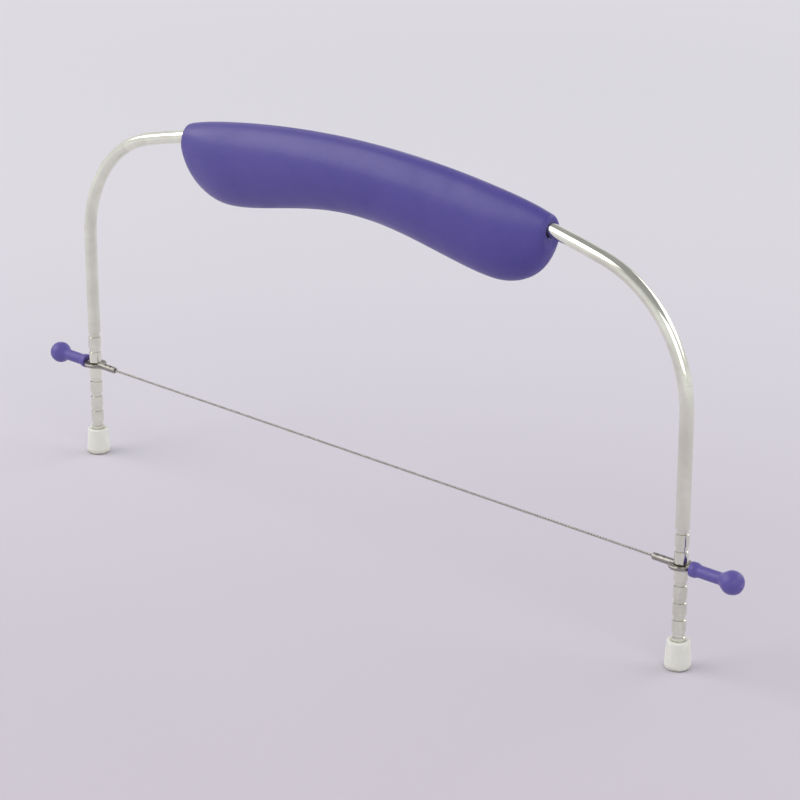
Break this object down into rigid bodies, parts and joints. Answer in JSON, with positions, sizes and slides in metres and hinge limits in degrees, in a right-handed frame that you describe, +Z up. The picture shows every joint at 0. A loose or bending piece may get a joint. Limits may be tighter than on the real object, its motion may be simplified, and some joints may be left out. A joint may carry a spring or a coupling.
{
  "type": "cake leveler",
  "caption": "Hand-held cake leveler: a bent rod frame with a moulded grip on its arch, capped feet, and a taut cutting wire that slides up and down its grooved legs.",
  "frame": {"origin": "on the work surface, midway between the two feet", "axes": "+X from the left leg to the right leg, -Y towards the front, +Z up from the work surface"},
  "size_m": [0.3506, 0.0198, 0.1587],
  "materials": {
    "nickel_rod": "bright nickel plate on steel rod",
    "grip_plastic": "glossy blue-violet moulded plastic",
    "screw_steel": "zinc plated",
    "foot_plastic": "natural translucent soft plastic",
    "wire_steel": "twisted stainless wire",
    "anchor_steel": "dull stainless, crimped"
  },
  "bodies": {
    "frame": {"frame_rod": "nickel_rod", "handle_front": "grip_plastic", "handle_back": "grip_plastic", "handle_screws": "screw_steel", "foot_left": "foot_plastic", "foot_right": "foot_plastic"},
    "wire_set": {"cutting_wire": "wire_steel", "wire_anchor_left": "anchor_steel", "wire_anchor_right": "anchor_steel", "wire_tab_left": "grip_plastic", "wire_tab_right": "grip_plastic"}
  },
  "joints": [
    {"name": "wire_height", "type": "slide", "parent": "frame", "child": "wire_set", "axis": [0, 0, 1], "range_m": [-0.0254, 0.0127]}
  ]
}
